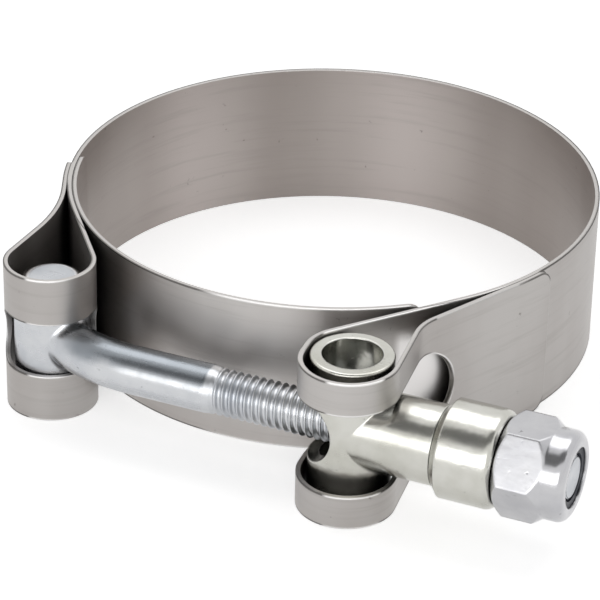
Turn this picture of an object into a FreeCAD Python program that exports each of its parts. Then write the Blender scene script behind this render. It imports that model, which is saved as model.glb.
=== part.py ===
import FreeCAD, Part
import math
import os

from FreeCAD import Vector

# Wide band clamp, in millimetres. The origin is the ring's centre at half its
# height, Z is the ring's axis, and the straight part of the bolt runs along +X
# on the ring's -Y side. Angles are counted about Z from +X.

# Band: one strip, bent to a ring, with both ends folded outwards into loops
strip_width = 20.0
strip_thickness = 0.6
ring_inner_radius = 34.3

# Bridge: the loose inner strip that closes the ring under the bolt
bridge_thickness = 0.6
bridge_gap = 0.05
bridge_left_length = 16.4
bridge_right_length = 5.3
bridge_corner = 2.0

# T-bolt: a cross bar for a head, a curved shank and a straight thread
bolt_offset = 4.8
shank_radius = 3.05
shank_bend_radius = 22.0
thread_radius = 2.93
thread_start_x = 1.65
thread_bevel = 0.95
bolt_end_inset = 0.35
bolt_end_bevel = 0.4
head_x = -23.23
head_rise = 4.6
head_radius = 4.9
head_height = 15.6
head_round = 2.3
neck_round = 0.9

# Left loop, round the head
head_seat_gap = 0.05
head_clearance = 0.31
left_bend_radius = 24.33
left_bend_reach = 24.72
left_bend_offset = 17.72
left_flap_length = 25.5
left_window_clearance = 0.65
left_window_start_deg = 233.0
left_window_end_deg = 362.0

# Trunnion: an upright tube in the right loop with a barrel for the bolt
tube_x = 19.45
tube_radius = 5.15
tube_bore_radius = 3.7
tube_end_inset = 0.3
tube_edge_round = 0.35
barrel_radius = 5.0
barrel_reach = 11.95
bolt_hole_clearance = 0.3
swing_window_clearance = 1.37
swing_window_setback = 0.5

# Right loop, round the trunnion's tube, with slack on its outer side
tube_seat_gap = 0.15
tube_slack_radius = 0.42
right_loop_shift_x = 0.39
right_loop_shift_y = 1.79
right_bend_radius = 7.4
right_bend_reach = 9.87
right_bend_offset = 11.91
right_flap_length = 28.7
right_window_clearance = 0.65
right_window_back_deg = 165.0
right_window_end_heading = 84.0
flap_corner = 2.0

# Collar: the thick ring between trunnion and nut
collar_gap = 0.05
collar_radius = 6.15
collar_length = 7.8
collar_cone = 1.0
collar_round = 1.15

# Lock nut and its insert
nut_gap = 0.05
nut_flats = 11.2
nut_hex_length = 6.4
nut_length = 8.8
nut_face_radius = 5.3
nut_corner_length = 1.0
nut_shoulder_length = 1.6
nut_turn_deg = 63.0
nut_collar_radius = 5.58
nut_collar_round = 1.2
nut_thread_clearance = 0.05
nut_lip = 0.35
nut_lip_radius = 3.75
insert_radius = 4.6
insert_length = 2.2
insert_fit = 0.02
insert_thread_clearance = 0.03

# How far the window cutters reach from a strip's middle; the right one's reach
# inwards is short, because the ring lies close behind it
window_reach = 2.4
right_window_reach_in = 0.45

half_width = strip_width / 2
half_strip = strip_thickness / 2
ring_outer_radius = ring_inner_radius + strip_thickness
ring_mid_radius = ring_inner_radius + half_strip
lapped_mid_radius = ring_outer_radius + half_strip
bolt_y = -(ring_outer_radius + bolt_offset)
bolt_hole_radius = thread_radius + bolt_hole_clearance
barrel_end_x = tube_x + barrel_reach
collar_start_x = barrel_end_x + collar_gap
collar_end_x = collar_start_x + collar_length
nut_start_x = collar_end_x + nut_gap
nut_end_x = nut_start_x + nut_length
insert_end_x = nut_end_x - nut_lip
insert_start_x = insert_end_x - insert_length
bolt_end_x = nut_end_x - bolt_end_inset


def unit(degrees):
    angle = math.radians(degrees)
    return Vector(math.cos(angle), math.sin(angle), 0)


def bearing(point):
    return math.degrees(math.atan2(point.y, point.x))


def run_to_degrees(run):
    """The angle that a length along the ring's outer face covers."""
    return math.degrees(run / ring_outer_radius)


def along_x(radius, start_x, end_x):
    """A cylinder on the bolt's axis."""
    base = Vector(start_x, bolt_y, 0)
    return Part.makeCylinder(radius, end_x - start_x, base, Vector(1, 0, 0))


def turned(points):
    """A solid turned about the bolt's axis from (x, radius) corners."""
    corners = [Vector(x, bolt_y + radius, 0) for x, radius in points]
    face = Part.Face(Part.makePolygon(corners + corners[:1]))
    return face.revolve(Vector(0, bolt_y, 0), Vector(1, 0, 0), 360)


def rims_past(body, x):
    """The full circles of a turned body that lie beyond this x."""
    return [e for e in body.Edges if len(e.Vertexes) == 1 and e.CenterOfMass.x > x]


# A strip's centreline is a row of turns with straight tangents between them.
# A turn is (centre, radius), and its radius is negative where it runs clockwise,
# so that moving the line sideways only adds to every radius.


def heading_between(first, second):
    """The direction, in degrees, of the tangent from one turn to the next."""
    way = second[0].sub(first[0])
    lean = math.degrees(math.asin((first[1] - second[1]) / way.Length))
    return bearing(way) + lean


def heading_at(degrees):
    """Which way a strip that runs anticlockwise goes at this bearing on its turn."""
    return degrees + 90


def bearing_at(heading):
    """The bearing on its turn at which a strip that runs clockwise has a heading."""
    return heading + 90


def spot(turn, heading, shift):
    """The point where a strip, moved to its right by shift, has a heading."""
    return turn[0].add(unit(heading - 90).multiply(turn[1] + shift))


def line_of(turns, start_heading, end_heading, shift):
    """The edges of a strip's line, moved to its right by shift."""
    headings = [start_heading]
    for first, second in zip(turns, turns[1:]):
        headings.append(heading_between(first, second))
    headings.append(end_heading)
    edges = []
    last_point = None
    for turn, enter, leave in zip(turns, headings, headings[1:]):
        if turn[1] > 0:
            swing = (leave - enter) % 360
        else:
            swing = -((enter - leave) % 360)
        start = spot(turn, enter, shift)
        middle = spot(turn, enter + swing / 2, shift)
        end = spot(turn, leave, shift)
        if last_point is not None:
            edges.append(Part.LineSegment(last_point, start).toShape())
        edges.append(Part.Arc(start, middle, end).toShape())
        last_point = end
    return edges


def strip(turns, start_heading, end_heading, inside, outside, height):
    """A standing strip: inside and outside are its faces' shifts from its line."""
    right = line_of(turns, start_heading, end_heading, outside)
    left = line_of(turns, start_heading, end_heading, inside)
    caps = []
    for turn, heading in ((turns[0], start_heading), (turns[-1], end_heading)):
        ends = [spot(turn, heading, shift) for shift in (inside, outside)]
        caps.append(Part.LineSegment(*ends).toShape())
    wire = Part.Wire(Part.__sortEdges__(right + left + caps))
    face = Part.Face(wire)
    face.translate(Vector(0, 0, -height / 2))
    return face.extrude(Vector(0, 0, height))


def round_hole(turn, heading, radius, inside, outside):
    """A cutter square to a strip at the place where it has this heading."""
    base = spot(turn, heading, inside)
    return Part.makeCylinder(radius, outside - inside, base, unit(heading - 90))


def rounded_end(flap, place, radius):
    """Rounds the two corners of a flap where it ends at this place."""
    corners = []
    for edge in flap.Edges:
        middle = edge.CenterOfMass
        level = abs(abs(middle.z) - half_width) < half_strip
        if level and math.hypot(middle.x - place.x, middle.y - place.y) < half_strip:
            if edge.Length < 2 * strip_thickness:
                corners.append(edge)
    return flap.makeFillet(radius, corners)


# Places that the band and the pieces in it share

head_centre = Vector(head_x, bolt_y + head_rise, 0)
tube_centre = Vector(tube_x, bolt_y, 0)

left_loop_radius = head_radius + head_clearance + half_strip
left_loop_centre = head_centre.sub(Vector(head_clearance - head_seat_gap, 0, 0))
left_loop_bearing = bearing(left_loop_centre)

right_wrap_radius = tube_radius + tube_seat_gap + half_strip
right_loop_radius = tube_radius + tube_slack_radius + half_strip
right_loop_centre = tube_centre.add(Vector(right_loop_shift_x, -right_loop_shift_y, 0))
tube_bearing = bearing(tube_centre)

ring_turn = (Vector(0, 0, 0), -ring_mid_radius)
lapped_turn = (Vector(0, 0, 0), lapped_mid_radius)
left_loop_turn = (left_loop_centre, left_loop_radius)
right_wrap_turn = (tube_centre, right_wrap_radius)
right_loop_turn = (right_loop_centre, right_loop_radius)


def bend_turn(start_bearing, run, reach, radius):
    """The hollow bend where a flap leaves the ring for its loop."""
    place = unit(start_bearing + run_to_degrees(run))
    return (place.multiply(ring_outer_radius + reach), -radius)


left_bend_turn = bend_turn(left_loop_bearing, -left_bend_offset, left_bend_reach, left_bend_radius)
right_bend_turn = bend_turn(tube_bearing, right_bend_offset, right_bend_reach, right_bend_radius)
left_flap_end_heading = heading_at(left_loop_bearing - run_to_degrees(left_flap_length))
right_flap_end_heading = heading_at(tube_bearing + run_to_degrees(right_flap_length))


def left_window():
    """The slot in the left loop that the bolt leaves by and swings in."""
    radius = shank_radius + left_window_clearance
    start = heading_at(left_window_start_deg)
    end = heading_at(left_window_end_deg)
    slot = strip([left_loop_turn], start, end, -window_reach, window_reach, 2 * radius)
    for heading in (start, end):
        slot = slot.fuse(round_hole(left_loop_turn, heading, radius, -window_reach, window_reach))
    return slot


def right_window():
    """The opening in the right loop, from the bolt's passage round to the flap."""
    radius = barrel_radius + right_window_clearance
    slot = strip(
        [right_loop_turn, right_bend_turn],
        heading_at(right_window_back_deg),
        right_window_end_heading,
        -right_window_reach_in,
        window_reach,
        2 * radius,
    )
    tip = round_hole(
        right_bend_turn, right_window_end_heading, radius, -right_window_reach_in, 2 * window_reach
    )
    passage = along_x(radius, tube_x - right_wrap_radius - window_reach, tube_x)
    return slot.fuse([tip, passage])


def make_band():
    left_flap = strip(
        [lapped_turn, left_bend_turn, left_loop_turn],
        left_flap_end_heading, 0, -half_strip, half_strip, strip_width,
    )
    left_flap = rounded_end(left_flap, spot(lapped_turn, left_flap_end_heading, 0), flap_corner)
    middle = strip(
        [left_loop_turn, ring_turn, right_wrap_turn, right_loop_turn],
        0, 0, -half_strip, half_strip, strip_width,
    )
    right_flap = strip(
        [right_loop_turn, right_bend_turn, lapped_turn],
        0, right_flap_end_heading, -half_strip, half_strip, strip_width,
    )
    right_flap = rounded_end(right_flap, spot(lapped_turn, right_flap_end_heading, 0), flap_corner)
    band = middle.fuse([left_flap, right_flap])
    band = band.cut([left_window(), right_window()])
    return band.removeSplitter()


def make_bridge():
    outer = ring_inner_radius - bridge_gap
    middle = outer - bridge_thickness / 2
    turn = (Vector(0, 0, 0), middle)
    left_leg = bearing_at(heading_between(left_loop_turn, ring_turn))
    right_leg = bearing_at(heading_between(ring_turn, right_wrap_turn))
    start = heading_at(left_leg - run_to_degrees(bridge_left_length))
    end = heading_at(right_leg - run_to_degrees(bridge_right_length))
    half = bridge_thickness / 2
    bridge = strip([turn], start, end, -half, half, strip_width)
    for heading in (start, end):
        bridge = rounded_end(bridge, spot(turn, heading, 0), bridge_corner)
    return bridge


def is_neck(edge):
    """Whether an edge is where the shank leaves the head's side."""
    return all(
        abs(math.hypot(v.X - head_centre.x, v.Y - head_centre.y) - head_radius) < half_strip
        and abs(v.Z) < head_height / 2 - head_round
        for v in edge.Vertexes
    )


def make_t_bolt():
    bend_deg = math.degrees(math.acos(1 - head_rise / shank_bend_radius))
    straight_x = head_x + shank_bend_radius * math.sin(math.radians(bend_deg))
    bend_centre = Vector(straight_x, bolt_y + shank_bend_radius, 0)
    section = Part.Wire(Part.makeCircle(
        shank_radius, Vector(straight_x, bolt_y, 0), Vector(1, 0, 0)))
    bent = Part.Face(section).revolve(bend_centre, Vector(0, 0, 1), -bend_deg)
    head_base = head_centre.sub(Vector(0, 0, head_height / 2))
    head = Part.makeCylinder(head_radius, head_height, head_base)
    head = head.makeFillet(head_round, [e for e in head.Edges if e.Length > head_height])
    straight = turned([
        (straight_x, 0),
        (straight_x, shank_radius),
        (thread_start_x - thread_bevel, shank_radius),
        (thread_start_x, thread_radius),
        (bolt_end_x - bolt_end_bevel, thread_radius),
        (bolt_end_x, thread_radius - bolt_end_bevel),
        (bolt_end_x, 0),
    ])
    crossbar = head.fuse(bent).removeSplitter()
    necks = [e for e in crossbar.Edges if is_neck(e)]
    return crossbar.makeFillet(neck_round, necks).fuse(straight).removeSplitter()


def make_trunnion():
    tube_height = strip_width - 2 * tube_end_inset
    base = tube_centre.sub(Vector(0, 0, tube_height / 2))
    tube = Part.makeCylinder(tube_radius, tube_height, base)
    tube = tube.makeFillet(tube_edge_round, [e for e in tube.Edges if len(e.Vertexes) == 1])
    barrel = along_x(barrel_radius, tube_x, barrel_end_x)
    bore = Part.makeCylinder(tube_bore_radius, tube_height, base)
    bolt_hole = along_x(bolt_hole_radius, tube_x, barrel_end_x)
    swing = thread_radius + swing_window_clearance
    swing_x = tube_x - swing_window_setback - swing
    swing_y = bolt_y - tube_radius
    window_round = Part.makeCylinder(
        swing, 2 * tube_radius, Vector(swing_x, swing_y, 0), Vector(0, 1, 0))
    window_open = Part.makeBox(
        tube_radius, 2 * tube_radius, 2 * swing, Vector(swing_x - tube_radius, swing_y, -swing))
    whole = tube.fuse(barrel)
    return whole.cut([bore, bolt_hole, window_round, window_open]).removeSplitter()


def make_collar():
    body = turned([
        (collar_start_x, 0),
        (collar_start_x, barrel_radius),
        (collar_start_x + collar_cone, collar_radius),
        (collar_end_x, collar_radius),
        (collar_end_x, 0),
    ])
    body = body.makeFillet(collar_round, rims_past(body, collar_end_x - collar_cone))
    return body.cut(along_x(bolt_hole_radius, collar_start_x, collar_end_x))


def make_lock_nut():
    hex_end_x = nut_start_x + nut_hex_length
    corner_radius = nut_flats / math.sqrt(3)
    corners = []
    for step in range(7):
        angle = math.radians(nut_turn_deg + 60 * step)
        across = -corner_radius * math.cos(angle)
        corners.append(Vector(nut_start_x, bolt_y + across, corner_radius * math.sin(angle)))
    prism = Part.Face(Part.makePolygon(corners)).extrude(Vector(nut_hex_length, 0, 0))
    bevels = turned([
        (nut_start_x, 0),
        (nut_start_x, nut_face_radius),
        (nut_start_x + nut_corner_length, corner_radius),
        (hex_end_x - nut_shoulder_length, corner_radius),
        (hex_end_x, nut_face_radius),
        (hex_end_x, 0),
    ])
    collar = along_x(nut_collar_radius, hex_end_x - nut_shoulder_length, nut_end_x)
    collar = collar.makeFillet(nut_collar_round, rims_past(collar, hex_end_x))
    bore = along_x(thread_radius + nut_thread_clearance, nut_start_x, nut_end_x)
    seat = along_x(insert_radius + insert_fit, insert_start_x, insert_end_x)
    mouth = along_x(nut_lip_radius, insert_end_x, nut_end_x)
    return prism.common(bevels).fuse(collar).cut([bore, seat, mouth]).removeSplitter()


def make_nylon_insert():
    ring = along_x(insert_radius, insert_start_x, insert_end_x)
    bore_radius = thread_radius + insert_thread_clearance
    return ring.cut(along_x(bore_radius, insert_start_x, insert_end_x))


parts = {
    "band": make_band,
    "bridge": make_bridge,
    "t_bolt": make_t_bolt,
    "trunnion": make_trunnion,
    "collar": make_collar,
    "lock_nut": make_lock_nut,
    "nylon_insert": make_nylon_insert,
}

os.makedirs("parts", exist_ok=True)
for name, make in parts.items():
    make().exportStep("parts/" + name + ".step")
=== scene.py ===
import bmesh
import bpy
import math
from mathutils import Matrix, Vector


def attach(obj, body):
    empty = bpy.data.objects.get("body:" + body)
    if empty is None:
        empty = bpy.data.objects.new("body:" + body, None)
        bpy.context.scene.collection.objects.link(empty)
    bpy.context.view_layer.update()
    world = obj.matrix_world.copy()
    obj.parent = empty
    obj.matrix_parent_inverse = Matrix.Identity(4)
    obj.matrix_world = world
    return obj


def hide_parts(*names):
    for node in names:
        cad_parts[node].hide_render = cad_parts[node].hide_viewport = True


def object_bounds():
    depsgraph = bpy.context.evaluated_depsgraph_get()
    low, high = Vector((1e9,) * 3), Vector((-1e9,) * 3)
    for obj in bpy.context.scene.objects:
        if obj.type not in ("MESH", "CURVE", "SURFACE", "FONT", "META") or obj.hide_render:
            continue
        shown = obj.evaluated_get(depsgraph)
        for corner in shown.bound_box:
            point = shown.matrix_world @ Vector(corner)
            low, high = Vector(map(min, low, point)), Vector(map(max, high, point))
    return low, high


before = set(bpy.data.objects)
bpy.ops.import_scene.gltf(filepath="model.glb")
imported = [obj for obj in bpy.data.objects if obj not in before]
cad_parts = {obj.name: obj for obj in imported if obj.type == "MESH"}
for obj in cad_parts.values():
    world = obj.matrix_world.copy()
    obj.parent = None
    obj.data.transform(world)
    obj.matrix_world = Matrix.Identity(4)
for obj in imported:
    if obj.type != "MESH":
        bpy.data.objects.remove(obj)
cad_low, cad_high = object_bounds()

MM = 0.001

# Camera, fitted to the photograph: angles in degrees, lengths in millimetres
VIEW_TURN = 23.1057
VIEW_ELEVATION = 29.3631
VIEW_ROLL = -1.19833
VIEW_DISTANCE = 399.785
VIEW_SHIFT_RIGHT = 4.0577
VIEW_SHIFT_UP = 6.9999
FOCAL_PIXELS = 3006.58
IMAGE_PIXELS = 600.0
SENSOR_WIDTH = 36.0
CLIP_START = 0.01

# Shapes repeated from the solids, in millimetres
RING_OUTER = 34.9
BAND_INNER = 34.3
BRIDGE_INNER = 33.65
HALF_WIDTH = 10.0
BOLT_Y = -39.7
SHANK_END_X = 0.7
SHANK_RADIUS = 3.05
THREAD_START_X = 1.65
THREAD_END_X = 47.75
THREAD_RADIUS = 2.93
THREAD_ROOT = 2.46
THREAD_PITCH = 1.0
THREAD_END_BEVEL = 0.4
TUBE_X = 19.45
TUBE_RADIUS = 5.15
HEAD_X = -23.23
HEAD_Y = -35.1
HEAD_FLAT_RADIUS = 3.1

# The thread's form: how far its crest is cut flat, and how slender it is
THREAD_CREST = 1.04
THREAD_SLENDER = 1.9
THREAD_SIDES = 64
ROWS_PER_TURN = 12
SHARP_ANGLE = 40

# How close points of the bolt's mesh are cut, and merged before and after the thread, in metres
CUT_DISTANCE = 1e-7
MERGE_DISTANCE = 1e-6
THREAD_MERGE_DISTANCE = 2e-6

# Below, a pair is where a mark starts or ends, and then where it is full.

# The strip, in millimetres: its layers, rims, seam and rounded edges
INNER_LAYER = (0.25, 0.05)
RIM_LAYER = (0.10, 0.02)
SEAM_REACH = (0.10, 0.03)
STRIP_EDGE = 0.16
STRIP_CORNER = 0.38
STRIP_CREVICE = 3.0

# A painted highlight on the ring's outer face beside the trunnion: degrees about the ring's axis,
# then millimetres
RING_HIGHLIGHT_BEARING = -50.0
RING_HIGHLIGHT_SPREAD = (7.0, 4.0)
RING_HIGHLIGHT_OUTWARDS = (1.4, 1.1)
RING_HIGHLIGHT_INWARDS = (-0.2, -0.1)
RING_HIGHLIGHT_HEIGHT = (8.0, 6.0)

# The bearing, in degrees, that rims face where their outer corner catches the light, the
# cosines of the angle off it, and how steeply a corner's rounded normal slants
LIT_BEARING = -60.0
LIT_COSINES = (0.80, 0.88)
CORNER_SLANT = (0.02, 0.18)

# Painted highlights in stretches of the strip's inner face, as bearings and reaches in degrees
INNER_HIGHLIGHT_STRETCHES = ((148.0, 24.0), (96.0, 26.0))

# The painted dark reflection on the shank's upper side, in millimetres, and its normal's lean to
# the ring
BAND_START_X = (-20.5, -16.5)
BAND_END_X = (1.15, 0.85)
BAND_HEIGHT = (1.4, 3.0)
BAND_WAVER = 1.6
FRONT_LEAN = (0.62, 0.42)

# The top of the bolt's head, with its painted highlight and painted shade, in millimetres
HEAD_TOP_Z = (5.0, 5.6)
HEAD_END_X = (-17.0, -18.0)
HEAD_RIM = 0.35
HEAD_ROUND = 0.25

# The thread is rougher than the shank, from and to these places in millimetres
ROUGHER_X = (0.7, 1.2)
ROUGHER_BY = 0.06

# The shaded inside of the trunnion's tube, in millimetres inwards and up
TUBE_WALL = (0.08, 0.15)
TUBE_SHADE_Z = (4.0, 1.5)
ZINC_CREVICE = 4.0

# Colours, as linear red, green and blue
STRIP_PALE = (0.485, 0.467, 0.452)
STRIP_DEEP = (0.41, 0.387, 0.372)
STRIP_LINES = (0.28, 0.255, 0.24)
STRIP_SPECKS = (0.16, 0.14, 0.13)
STRIP_WORN = (0.60, 0.59, 0.575)
STRIP_SHADOW = (0.03, 0.028, 0.025)
# The inner face's painted shade, then its painted highlight
INNER_SHADE_DEEP = (0.335, 0.30, 0.28)
INNER_SHADE_PALE = (0.385, 0.35, 0.33)
INNER_HIGHLIGHT = (0.50, 0.455, 0.435)
# A painted highlight on the ring beside the trunnion
RING_HIGHLIGHT = (0.86, 0.84, 0.83)
RIM = (0.50, 0.482, 0.466)
CORNER_SHADED = (0.08, 0.075, 0.07)
CORNER_LIT = (0.88, 0.87, 0.86)
SEAM = (0.06, 0.055, 0.05)
ZINC_WORN = (0.72, 0.72, 0.72)
ZINC_SHADOW = (0.05, 0.05, 0.045)
# Painted dark reflection on the shank, then painted highlight and painted shade on the head
SHANK_PAINTED_REFLECTION = (0.255, 0.275, 0.298)
HEAD_RIM_LIT = (0.86, 0.86, 0.87)
HEAD_ROUND_SHADED = (0.13, 0.125, 0.12)
TUBE_SHADED = (0.06, 0.062, 0.052)
NYLON_DEEP = (0.020, 0.022, 0.030)
NYLON_PALE = (0.055, 0.058, 0.072)

# Stage: the room's light, the floor's grey, its glow, and what the camera sees on top of it
ROOM_LIGHT = 0.35
FLOOR_HALF = 3.0
FLOOR_GAP = 0.00002
FLOOR_GREY = 0.80
FLOOR_GLOW = 0.51
FLOOR_GLOW_SEEN = 0.09


# Thread


def thread_height(part_of_turn):
    """How high the thread stands at this part of a turn, from 0 in the root to 1."""
    wave = 0.5 - 0.5 * math.cos(2 * math.pi * part_of_turn)
    return min(1.0, THREAD_CREST * wave ** THREAD_SLENDER)


def thread_radius(x, part_of_turn):
    """The thread's radius, which runs in over one turn and ends in a bevel."""
    run_in = min(1.0, max(0.0, (x - THREAD_START_X) / THREAD_PITCH))
    depth = (THREAD_RADIUS - THREAD_ROOT) * run_in
    radius = THREAD_RADIUS - depth * (1 - thread_height(part_of_turn))
    bevel_start = THREAD_END_X - THREAD_END_BEVEL
    return min(radius, THREAD_RADIUS - max(0.0, x - bevel_start))


def on_bolt(mesh, x, radius, angle):
    place = (x, BOLT_Y + radius * math.cos(angle), radius * math.sin(angle))
    return mesh.verts.new([value * MM for value in place])


def circle(mesh, x, radius):
    steps = range(THREAD_SIDES + 1)
    return [on_bolt(mesh, x, radius, -2 * math.pi * step / THREAD_SIDES) for step in steps]


def join(mesh, low, high):
    for corners in zip(low, low[1:], high[1:], high):
        mesh.faces.new(corners)


def add_thread(mesh):
    """Adds a right-hand thread with its run-in and closed end to a bmesh."""
    turns = int((THREAD_END_X - THREAD_START_X) / THREAD_PITCH) + 2
    rows = []
    for row in range(turns * ROWS_PER_TURN + 1):
        ring = []
        for step in range(THREAD_SIDES + 1):
            angle = 2 * math.pi * step / THREAD_SIDES
            turned = row / ROWS_PER_TURN - step / THREAD_SIDES
            x = THREAD_START_X + turned * THREAD_PITCH
            x = min(max(x, THREAD_START_X), THREAD_END_X)
            radius = thread_radius(x, row / ROWS_PER_TURN)
            ring.append(on_bolt(mesh, x, radius, -angle))
        rows.append(ring)
    for low, high in zip(rows, rows[1:]):
        join(mesh, low, high)
    shank_end = circle(mesh, SHANK_END_X, SHANK_RADIUS)
    thread_start = circle(mesh, THREAD_START_X, THREAD_RADIUS)
    join(mesh, shank_end, thread_start)
    centre = mesh.verts.new((THREAD_END_X * MM, BOLT_Y * MM, 0))
    last = circle(mesh, THREAD_END_X, THREAD_RADIUS - THREAD_END_BEVEL)
    for a, b in zip(last, last[1:]):
        mesh.faces.new((a, b, centre))


def make_bolt():
    """The solid bolt's head and shank with a real thread in place of its cylinder."""
    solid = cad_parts["t_bolt"]
    mesh = bmesh.new()
    mesh.from_mesh(solid.data)
    bmesh.ops.remove_doubles(mesh, verts=mesh.verts, dist=MERGE_DISTANCE)
    bmesh.ops.bisect_plane(
        mesh, geom=mesh.verts[:] + mesh.edges[:] + mesh.faces[:], dist=CUT_DISTANCE,
        plane_co=(SHANK_END_X * MM, 0, 0), plane_no=(1, 0, 0), clear_outer=True)
    add_thread(mesh)
    bmesh.ops.remove_doubles(mesh, verts=mesh.verts, dist=THREAD_MERGE_DISTANCE)
    bmesh.ops.dissolve_degenerate(mesh, edges=mesh.edges, dist=MERGE_DISTANCE)
    bmesh.ops.recalc_face_normals(mesh, faces=mesh.faces)
    data = bpy.data.meshes.new("t_bolt_threaded")
    mesh.to_mesh(data)
    mesh.free()
    data.shade_smooth()
    data.set_sharp_from_angle(angle=math.radians(SHARP_ANGLE))
    bolt = bpy.data.objects.new("t_bolt_threaded", data)
    bpy.context.collection.objects.link(bolt)
    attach(bolt, "bolt")
    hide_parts("t_bolt")
    return bolt


# Materials


def unit(bearing):
    angle = math.radians(bearing)
    return math.cos(angle), math.sin(angle), 0


def scaled(color, factor):
    return [value * factor for value in color]


def cleared(owner):
    """The emptied node tree of a material or a world."""
    owner.use_nodes = True
    owner.node_tree.nodes.clear()
    return owner.node_tree


class Shader:
    """Short calls for building one node material."""

    def __init__(self, name):
        self.material = bpy.data.materials.new(name)
        self.tree = cleared(self.material)
        output = self.node("ShaderNodeOutputMaterial")
        self.bsdf = self.node("ShaderNodeBsdfPrincipled")
        self.link(self.bsdf.outputs[0], output.inputs[0])
        self.place = self.node("ShaderNodeTexCoord").outputs["Object"]

    def node(self, kind, **settings):
        made = self.tree.nodes.new(kind)
        for key, value in settings.items():
            setattr(made, key, value)
        return made

    def link(self, source, target):
        self.tree.links.new(source, target)

    def fill(self, socket, value):
        if isinstance(value, bpy.types.NodeSocket):
            self.link(value, socket)
        else:
            socket.default_value = value

    def math(self, operation, *values, clamp=False):
        made = self.node("ShaderNodeMath", operation=operation, use_clamp=clamp)
        for socket, value in zip(made.inputs, values):
            self.fill(socket, value)
        return made.outputs[0]

    def vector(self, operation, *values, result="Vector"):
        made = self.node("ShaderNodeVectorMath", operation=operation)
        for socket, value in zip(made.inputs, values):
            self.fill(socket, value)
        return made.outputs[result]

    def axes(self, vector):
        """The x, y and z of a vector."""
        parts = self.node("ShaderNodeSeparateXYZ")
        self.link(vector, parts.inputs[0])
        return parts.outputs

    def product(self, *factors):
        result = factors[0]
        for factor in factors[1:]:
            result = self.math("MULTIPLY", result, factor)
        return result

    def off(self, value, middle):
        """How far a value lies from the middle."""
        return self.math("ABSOLUTE", self.math("SUBTRACT", value, middle))

    def remap(self, value, low, high, to_low=0.0, to_high=1.0, smooth=False):
        made = self.node("ShaderNodeMapRange")
        if smooth:
            made.interpolation_type = "SMOOTHSTEP"
        for key, number in zip(("Value", "From Min", "From Max", "To Min", "To Max"),
                               (value, low, high, to_low, to_high)):
            self.fill(made.inputs[key], number)
        return made.outputs["Result"]

    def spread(self, noise, to_low, to_high):
        """Brings what a noise mostly gives to this range."""
        return self.remap(noise, 0.3, 0.7, to_low, to_high)

    def fade(self, length, none, full, smooth=False):
        """0 at one length and 1 at the other, both in millimetres."""
        return self.remap(length, none * MM, full * MM, smooth=smooth)

    def mix(self, factor, first, second):
        made = self.node("ShaderNodeMix", data_type="RGBA")
        self.fill(made.inputs["Factor"], factor)
        for key, value in (("A", first), ("B", second)):
            socket = [s for s in made.inputs if s.name == key and s.type == "RGBA"][0]
            self.fill(socket, value if isinstance(value, bpy.types.NodeSocket) else (*value, 1))
        return [s for s in made.outputs if s.type == "RGBA"][0]

    def paint(self, color, mask, new, share=1.0):
        """Mixes in a new colour, up to this share, where the mask nears 1."""
        return self.mix(mask if share == 1.0 else self.product(mask, share), color, new)

    def mark(self, color, pattern, none, full, share, new):
        """Mixes in a new colour, up to this share, where a pattern nears its full value."""
        return self.mix(self.remap(pattern, none, full, to_high=share), color, new)

    def noise(self, scale, detail=3.0, rough=0.5, at=None, stretch=(1, 1, 1)):
        mapping = self.node("ShaderNodeMapping")
        self.link(at or self.place, mapping.inputs["Vector"])
        mapping.inputs["Scale"].default_value = stretch
        made = self.node("ShaderNodeTexNoise")
        self.link(mapping.outputs[0], made.inputs["Vector"])
        made.inputs["Scale"].default_value = scale
        made.inputs["Detail"].default_value = detail
        made.inputs["Roughness"].default_value = rough
        return made.outputs["Fac"]

    def bump(self, height, strength, distance, normal=None):
        """Raises the surface by up to a distance in millimetres, for the light only."""
        made = self.node("ShaderNodeBump")
        made.inputs["Strength"].default_value = strength
        made.inputs["Distance"].default_value = distance * MM
        self.link(height, made.inputs["Height"])
        if normal is not None:
            self.link(normal, made.inputs["Normal"])
        return made.outputs[0]

    def round_edges(self, radius):
        made = self.node("ShaderNodeBevel", samples=8)
        made.inputs["Radius"].default_value = radius * MM
        return made.outputs[0]

    def face_normal(self):
        return self.node("ShaderNodeNewGeometry").outputs["Normal"]

    def edge_mask(self, radius, sharpness):
        """1 on a strip this wide along every edge, 0 on open faces."""
        rounded = self.round_edges(radius)
        alike = self.vector("DOT_PRODUCT", rounded, self.face_normal(), result="Value")
        away = self.math("SUBTRACT", 1.0, alike)
        return self.math("MULTIPLY", away, sharpness, clamp=True)

    def openness(self, distance, closed, opened):
        """0 where other faces close in within these millimetres, 1 on open faces."""
        made = self.node("ShaderNodeAmbientOcclusion", samples=8)
        made.inputs["Distance"].default_value = distance * MM
        return self.remap(made.outputs["AO"], closed, opened)

    def level(self, vector):
        """A vector's level part."""
        return self.vector("MULTIPLY", vector, (1, 1, 0))

    def outer_corner(self, radius):
        """Two masks for the corner between a rim and the outer side: its shaded and lit parts."""
        rounded = self.round_edges(radius)
        outwards = self.vector("NORMALIZE", self.level(self.place))
        facing = self.vector("DOT_PRODUCT", rounded, outwards, result="Value")
        upright = self.math("ABSOLUTE", self.axes(rounded)[2])
        corner = self.remap(self.product(facing, upright), *CORNER_SLANT, smooth=True)
        direction = self.vector("NORMALIZE", self.level(rounded))
        cosine = self.vector("DOT_PRODUCT", direction, unit(LIT_BEARING), result="Value")
        lit = self.remap(cosine, *LIT_COSINES, smooth=True)
        return self.product(corner, self.math("SUBTRACT", 1.0, lit)), self.product(corner, lit)

    def off_axis(self, x, y):
        """How far a point lies from an upright axis at this place, given in millimetres."""
        moved = self.vector("SUBTRACT", self.place, (x * MM, y * MM, 0))
        return self.vector("LENGTH", self.level(moved), result="Value")

    def faces_front(self):
        """1 on what faces away from the ring or up, 0 on what faces the ring."""
        return self.remap(self.axes(self.face_normal())[1], *FRONT_LEAN, smooth=True)

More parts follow.
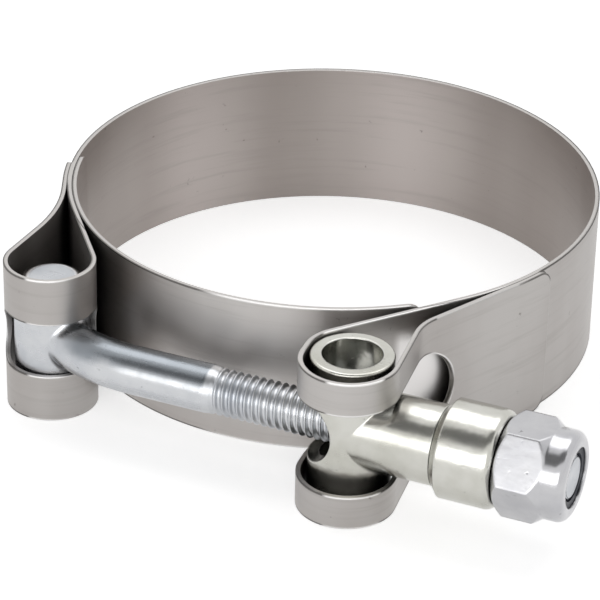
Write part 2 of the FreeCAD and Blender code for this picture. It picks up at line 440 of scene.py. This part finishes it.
    def along_ring(self):
        """Coordinates along the strip, then the angle, radius and height in the ring."""
        x, y, z = self.axes(self.place)
        angle = self.math("ARCTAN2", y, x)
        radius = self.math("SQRT", self.math("ADD", self.product(x, x), self.product(y, y)))
        joined = self.node("ShaderNodeCombineXYZ")
        self.link(self.product(angle, RING_OUTER * MM), joined.inputs[0])
        self.link(radius, joined.inputs[1])
        self.link(z, joined.inputs[2])
        return joined.outputs[0], angle, radius, z

    def finish(self, color, roughness, normal, metallic=1.0):
        self.fill(self.bsdf.inputs["Base Color"], color)
        self.fill(self.bsdf.inputs["Roughness"], roughness)
        self.bsdf.inputs["Metallic"].default_value = metallic
        self.link(normal, self.bsdf.inputs["Normal"])
        return self.material


def ring_highlight_mask(s, angle, radius, height):
    """A painted highlight on the ring's outer face beside the trunnion."""
    spread = [math.radians(degrees) for degrees in RING_HIGHLIGHT_SPREAD]
    outwards = [RING_OUTER + reach for reach in RING_HIGHLIGHT_OUTWARDS]
    inwards = [RING_OUTER + reach for reach in RING_HIGHLIGHT_INWARDS]
    return s.product(
        s.remap(s.off(angle, math.radians(RING_HIGHLIGHT_BEARING)), *spread, smooth=True),
        s.fade(radius, *outwards), s.fade(radius, *inwards), s.fade(height, *RING_HIGHLIGHT_HEIGHT))


def strip_steel(name, inner_radius, tone):
    """Rolled stainless strip: a faint grain along its length and warm cloudy tints."""
    s = Shader(name)
    run, angle, radius, z = s.along_ring()
    height = s.math("ABSOLUTE", z)
    grain = s.noise(scale=9000, detail=2.0, rough=0.6, at=run, stretch=(0.02, 0.0, 1.0))
    clouds = s.noise(scale=75, detail=3.0, rough=0.55, at=run, stretch=(1.0, 1.0, 0.35))
    lines = s.noise(scale=900, detail=3.0, rough=0.65, at=run, stretch=(0.05, 0.0, 1.0))
    specks = s.noise(scale=560, detail=3.0, rough=0.65)
    bands = s.noise(scale=62, detail=1.5, rough=0.45, stretch=(1.0, 1.0, 0.04))

    tint = s.remap(s.math("ADD", clouds, bands), low=0.80, high=1.20, smooth=True)
    color = s.mix(tint, scaled(STRIP_DEEP, tone), scaled(STRIP_PALE, tone))
    # The inner face is painted darker than the outer face: painted shade
    inner_shade_tint = s.remap(bands, low=0.36, high=0.64, smooth=True)
    inner_shade_and_highlights = s.mix(inner_shade_tint, INNER_SHADE_DEEP, INNER_SHADE_PALE)
    # Painted highlights in stretches of the inner face
    for bearing, reach in INNER_HIGHLIGHT_STRETCHES:
        off_bearing = s.off(angle, math.radians(bearing))
        bright = s.remap(off_bearing, math.radians(reach), 0.0, smooth=True)
        inner_shade_and_highlights = s.paint(inner_shade_and_highlights, bright, INNER_HIGHLIGHT)
    inside = s.fade(radius, *[inner_radius + depth for depth in INNER_LAYER])
    color = s.paint(color, inside, inner_shade_and_highlights)
    color = s.mark(color, lines, none=0.52, full=0.72, share=0.28, new=STRIP_LINES)
    color = s.mark(color, specks, none=0.69, full=0.75, share=0.55, new=STRIP_SPECKS)
    # A painted highlight on the ring's outer face beside the trunnion
    color = s.paint(color, ring_highlight_mask(s, angle, radius, height), RING_HIGHLIGHT)

    color = s.paint(color, s.edge_mask(STRIP_EDGE, sharpness=3.0), STRIP_WORN, share=0.7)
    rim = s.fade(height, *[HALF_WIDTH - depth for depth in RIM_LAYER])
    color = s.paint(color, rim, RIM)
    shaded_corner, lit_corner = s.outer_corner(STRIP_CORNER)
    color = s.paint(color, shaded_corner, CORNER_SHADED, share=0.85)
    color = s.paint(color, lit_corner, CORNER_LIT, share=0.8)
    seam = s.product(rim, s.fade(s.off(radius, RING_OUTER * MM), *SEAM_REACH))
    color = s.paint(color, seam, SEAM, share=0.85)
    color = s.mix(s.openness(STRIP_CREVICE, closed=0.05, opened=0.45), STRIP_SHADOW, color)

    cloudy_rough = s.spread(clouds, to_low=0.36, to_high=0.46)
    rough = s.math("ADD", cloudy_rough, s.spread(grain, to_low=-0.03, to_high=0.03))
    normal = s.bump(grain, strength=0.10, distance=0.02, normal=s.round_edges(STRIP_EDGE))
    normal = s.bump(clouds, strength=0.10, distance=0.25, normal=normal)
    return s.finish(color, rough, normal)


def bolt_marks(s, color, rough, clouds):
    """Painted dark reflection on the shank's upper side, painted highlight on the head's rim,
    painted shade on its round edge, and a rough thread.
    """
    x, _, z = s.axes(s.place)
    wavering = s.math("ADD", z, s.product(clouds, BAND_WAVER * MM))
    # Painted dark reflection on the shank's upper side
    band = s.product(
        s.fade(wavering, *BAND_HEIGHT, smooth=True), s.fade(x, *BAND_START_X, smooth=True),
        s.fade(x, *BAND_END_X), s.faces_front())
    color = s.paint(color, band, SHANK_PAINTED_REFLECTION)
    reach = s.off_axis(HEAD_X, HEAD_Y)
    upper = s.fade(z, *HEAD_TOP_Z)
    # Painted highlight on the rim of the head's top
    rim = s.fade(reach, HEAD_FLAT_RADIUS - HEAD_RIM, HEAD_FLAT_RADIUS, smooth=True)
    color = s.paint(color, s.product(rim, upper), HEAD_RIM_LIT)
    # Painted shade on the head's round edge
    round_edge = s.fade(reach, HEAD_FLAT_RADIUS, HEAD_FLAT_RADIUS + HEAD_ROUND)
    round_edge = s.product(round_edge, s.fade(x, *HEAD_END_X), upper)
    color = s.paint(color, round_edge, HEAD_ROUND_SHADED)
    return color, s.math("ADD", rough, s.product(s.fade(x, *ROUGHER_X), ROUGHER_BY))


def tube_marks(s, color, rough, clouds):
    """The shaded inside of the trunnion's tube."""
    wall = s.fade(s.off_axis(TUBE_X, BOLT_Y), *[TUBE_RADIUS - depth for depth in TUBE_WALL])
    low = s.fade(s.axes(s.place)[2], *TUBE_SHADE_Z, smooth=True)
    return s.paint(color, s.product(wall, low), TUBE_SHADED), rough


def zinc(name, base, dark, rough, streak, wobble, edge_radius, marks=None, crevices=True):
    """Plated steel: a cloudy tint, fine pits, drawn streaks and bright worn edges.

    The wobble of the surface and the edge's radius are in millimetres, and marks adds what one
    piece has of its own.
    """
    s = Shader(name)
    clouds = s.noise(scale=180, detail=3.0, rough=0.55)
    streaks = s.noise(scale=700, detail=3.0, rough=0.6, stretch=(streak, 1.0, 1.0))
    pits = s.noise(scale=1500, detail=2.0, rough=0.6)
    dents = s.noise(scale=480, detail=2.0, rough=0.5)
    scuffs = s.noise(scale=330, detail=4.0, rough=0.7, stretch=(streak * 3, 1.0, 1.0))

    cloudy_rough = s.spread(clouds, *rough)
    rough = s.math("ADD", cloudy_rough, s.spread(streaks, to_low=-0.04, to_high=0.04))
    color = s.mark(base, clouds, none=0.35, full=0.7, share=1.0, new=dark)
    color = s.mark(color, streaks, none=0.56, full=0.72, share=0.35, new=dark)
    color = s.mark(color, pits, none=0.70, full=0.76, share=0.5, new=scaled(dark, 0.35))
    color = s.mark(color, scuffs, none=0.66, full=0.74, share=0.55, new=scaled(dark, 0.3))
    if marks:
        color, rough = marks(s, color, rough, clouds)
    color = s.paint(color, s.edge_mask(edge_radius, sharpness=2.0), ZINC_WORN, share=0.5)
    if crevices:
        color = s.mix(s.openness(ZINC_CREVICE, closed=0.15, opened=0.55), ZINC_SHADOW, color)

    normal = s.bump(clouds, strength=0.35, distance=wobble, normal=s.round_edges(edge_radius))
    normal = s.bump(dents, strength=0.30, distance=wobble * 0.4, normal=normal)
    normal = s.bump(streaks, strength=0.12, distance=0.03, normal=normal)
    between_pits = s.remap(pits, low=0.76, high=0.66)
    normal = s.bump(between_pits, strength=0.25, distance=0.03, normal=normal)
    return s.finish(color, rough, normal)


def nylon():
    s = Shader("insert_nylon")
    cloud = s.noise(scale=500, detail=2.0)
    color = s.mix(cloud, NYLON_DEEP, NYLON_PALE)
    rough = s.spread(cloud, to_low=0.40, to_high=0.58)
    normal = s.bump(cloud, strength=0.3, distance=0.05)
    return s.finish(color, rough, normal, metallic=0.0)


def wear(piece, material):
    piece.data.materials.clear()
    piece.data.materials.append(material)


# Stage


def toward_view(point):
    """Turns a place given as (right, away, up) from the camera's side into the part's frame."""
    return Matrix.Rotation(math.radians(VIEW_TURN), 4, "Z") @ Vector(point)


def face_middle(thing, place):
    """Puts a lamp or card at a place seen from the camera's side, facing the part."""
    thing.location = toward_view(place)
    thing.rotation_euler = thing.location.to_track_quat("Z", "Y").to_euler()


def glow(tree, kind, grey, strength):
    """A background or emission node."""
    made = tree.nodes.new(kind)
    made.inputs["Color"].default_value = (grey, grey, grey, 1)
    made.inputs["Strength"].default_value = strength
    return made


def background(tree, shaded, white):
    """Shows white to the camera and in reflections, and the shaded look to all other rays."""
    path = tree.nodes.new("ShaderNodeLightPath")
    seen = path.outputs["Is Camera Ray"]
    for name in ("Is Glossy Ray", "Is Transmission Ray"):
        either = tree.nodes.new("ShaderNodeMath")
        either.operation = "MAXIMUM"
        tree.links.new(seen, either.inputs[0])
        tree.links.new(path.outputs[name], either.inputs[1])
        seen = either.outputs[0]
    mix = tree.nodes.new("ShaderNodeMixShader")
    tree.links.new(seen, mix.inputs[0])
    tree.links.new(shaded.outputs[0], mix.inputs[1])
    tree.links.new(white.outputs[0], mix.inputs[2])
    return mix.outputs[0]


def add_world():
    world = bpy.data.worlds.new("studio")
    bpy.context.scene.world = world
    tree = cleared(world)
    room = glow(tree, "ShaderNodeBackground", 1.0, ROOM_LIGHT)
    white = glow(tree, "ShaderNodeBackground", 1.0, 1.0)
    output = tree.nodes.new("ShaderNodeOutputWorld")
    tree.links.new(background(tree, room, white), output.inputs[0])


def add_plane(name, half_x, half_y):
    """A flat rectangle and the emptied node tree of its material."""
    mesh = bpy.data.meshes.new(name)
    corners = [(-half_x, -half_y), (half_x, -half_y), (half_x, half_y), (-half_x, half_y)]
    mesh.from_pydata([(x, y, 0) for x, y in corners], [], [(0, 1, 2, 3)])
    plane = bpy.data.objects.new(name, mesh)
    bpy.context.collection.objects.link(plane)
    material = bpy.data.materials.new(name)
    mesh.materials.append(material)
    return plane, cleared(material)


def add_floor():
    floor, tree = add_plane("floor", FLOOR_HALF, FLOOR_HALF)
    floor.location.z = cad_low.z - FLOOR_GAP
    plain = tree.nodes.new("ShaderNodeBsdfDiffuse")
    plain.inputs["Color"].default_value = (FLOOR_GREY, FLOOR_GREY, FLOOR_GREY, 1)
    lift = glow(tree, "ShaderNodeEmission", 1.0, FLOOR_GLOW)
    seen = tree.nodes.new("ShaderNodeLightPath").outputs["Is Camera Ray"]
    strength = tree.nodes.new("ShaderNodeMath")
    strength.operation = "MULTIPLY_ADD"
    tree.links.new(seen, strength.inputs[0])
    strength.inputs[1].default_value = FLOOR_GLOW_SEEN
    strength.inputs[2].default_value = FLOOR_GLOW
    tree.links.new(strength.outputs[0], lift.inputs["Strength"])
    both = tree.nodes.new("ShaderNodeAddShader")
    tree.links.new(plain.outputs[0], both.inputs[0])
    tree.links.new(lift.outputs[0], both.inputs[1])
    output = tree.nodes.new("ShaderNodeOutputMaterial")
    tree.links.new(background(tree, plain, both), output.inputs[0])


def add_lamp(name, place, size, radiance):
    light = bpy.data.lights.new(name, "AREA")
    light.shape = "RECTANGLE"
    light.size, light.size_y = size
    light.energy = radiance * math.pi * light.size * light.size_y
    lamp = bpy.data.objects.new(name, light)
    bpy.context.collection.objects.link(lamp)
    face_middle(lamp, place)


def add_card(name, place, size, grey):
    """A card seen only in reflections, which gives the metal its dark bands."""
    card, tree = add_plane(name, size[0] / 2, size[1] / 2)
    face_middle(card, place)
    shine = glow(tree, "ShaderNodeEmission", grey, 1.0)
    output = tree.nodes.new("ShaderNodeOutputMaterial")
    tree.links.new(shine.outputs[0], output.inputs[0])
    card.visible_camera = False
    card.visible_diffuse = False
    card.visible_shadow = False
    card.visible_transmission = False


def add_camera():
    elevation = math.radians(VIEW_ELEVATION)
    roll = math.radians(VIEW_ROLL)
    look = Vector((0, math.cos(elevation), -math.sin(elevation)))
    right = Vector((1, 0, 0))
    up = Vector((0, math.sin(elevation), math.cos(elevation)))
    place = -look * VIEW_DISTANCE - right * VIEW_SHIFT_RIGHT - up * VIEW_SHIFT_UP
    camera_right = right * math.cos(roll) - up * math.sin(roll)
    camera_up = right * math.sin(roll) + up * math.cos(roll)
    matrix = Matrix((camera_right, camera_up, -look)).transposed().to_4x4()
    matrix.translation = place * MM
    data = bpy.data.cameras.new("camera")
    data.sensor_width = SENSOR_WIDTH
    data.lens = FOCAL_PIXELS / IMAGE_PIXELS * SENSOR_WIDTH
    data.clip_start = CLIP_START
    camera = bpy.data.objects.new("camera", data)
    bpy.context.collection.objects.link(camera)
    camera.matrix_world = Matrix.Rotation(math.radians(VIEW_TURN), 4, "Z") @ matrix
    bpy.context.scene.camera = camera


# Scene

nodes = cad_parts
bolt = make_bolt()
bolt_zinc = zinc(
    "bolt_zinc", base=(0.61, 0.62, 0.635), dark=(0.47, 0.49, 0.52), rough=(0.23, 0.33),
    streak=0.06, wobble=0.14, edge_radius=0.15, marks=bolt_marks, crevices=False)
trunnion_zinc = zinc(
    "trunnion_zinc", base=(0.62, 0.615, 0.575), dark=(0.50, 0.495, 0.445), rough=(0.17, 0.28),
    streak=0.15, wobble=0.28, edge_radius=0.35, marks=tube_marks)
nut_zinc = zinc(
    "nut_zinc", base=(0.565, 0.563, 0.575), dark=(0.47, 0.47, 0.49), rough=(0.13, 0.22),
    streak=0.3, wobble=0.045, edge_radius=0.40)
wear(nodes["band"], strip_steel("band_steel", BAND_INNER, tone=1.0))
wear(nodes["bridge"], strip_steel("bridge_steel", BRIDGE_INNER, tone=1.15))
wear(bolt, bolt_zinc)
wear(nodes["trunnion"], trunnion_zinc)
wear(nodes["collar"], trunnion_zinc)
wear(nodes["lock_nut"], nut_zinc)
wear(nodes["nylon_insert"], nylon())

add_world()
add_floor()
add_lamp("front", place=(-0.25, -0.98, 0.33), size=(1.3, 0.50), radiance=1.9)
add_lamp("back", place=(0.10, 0.37, 0.93), size=(1.2, 0.60), radiance=1.4)
add_card("card_above", place=(0.0, -0.31, 0.72), size=(1.4, 0.44), grey=0.20)
add_camera()
bpy.context.scene.view_settings.view_transform = "Standard"
